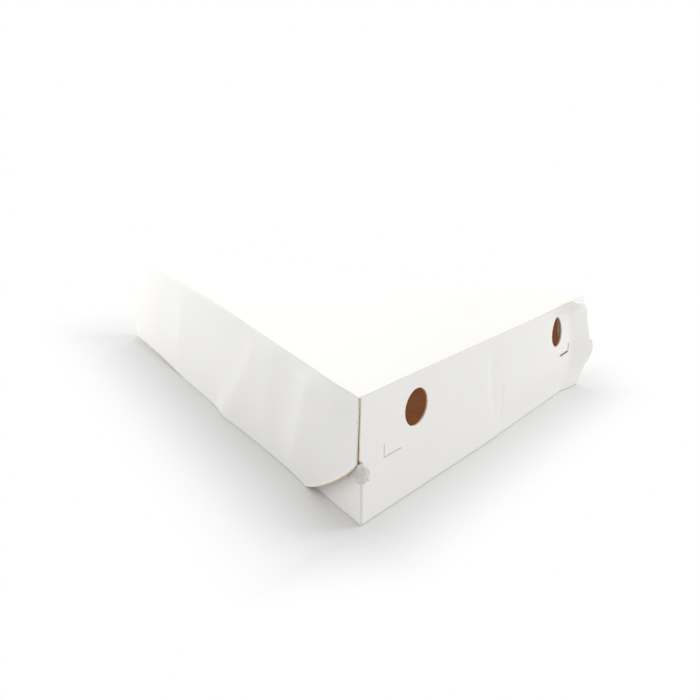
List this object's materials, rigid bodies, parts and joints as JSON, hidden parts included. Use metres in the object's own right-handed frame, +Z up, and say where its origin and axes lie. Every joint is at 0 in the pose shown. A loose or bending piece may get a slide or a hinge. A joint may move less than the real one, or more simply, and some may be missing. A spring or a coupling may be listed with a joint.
{
  "type": "pizza slice box",
  "caption": "Wedge-shaped card box for one slice: folded tray with vent holes in the crust wall, hinged lid resting slightly open, side flaps hanging outside the walls.",
  "frame": {"origin": "on the ground, below the middle of the bounding box", "axes": "+Z up, +Y from the crust wall towards the tip, +X to the right as seen from outside the crust wall"},
  "size_m": [0.1774, 0.2498, 0.0544],
  "materials": {
    "tray_board": "white coated board outside, matte",
    "lid_board": "white coated board outside, matte",
    "left_flap_board": "white coated board outside, matte",
    "right_flap_board": "white coated board outside, matte"
  },
  "bodies": {
    "tray": {"tray": "tray_board"},
    "lid": {"lid": "lid_board"},
    "left_flap": {"left_flap": "left_flap_board"},
    "right_flap": {"right_flap": "right_flap_board"}
  },
  "joints": [
    {"name": "lid_fold", "type": "hinge", "parent": "tray", "child": "lid", "pos_m": [0, -0.12007, 0.0447], "axis": [1, 0, 0], "range_deg": [-2.2, 175]},
    {"name": "left_flap_fold", "type": "hinge", "parent": "lid", "child": "left_flap", "pos_m": [-0.08838, -0.11887, 0.04475], "axis": [0.3288, 0.9437, 0.0363], "range_deg": [0, 90]},
    {"name": "right_flap_fold", "type": "hinge", "parent": "lid", "child": "right_flap", "pos_m": [0.08575, -0.11887, 0.04475], "axis": [0.3288, -0.9437, -0.0363], "range_deg": [0, 90]}
  ]
}
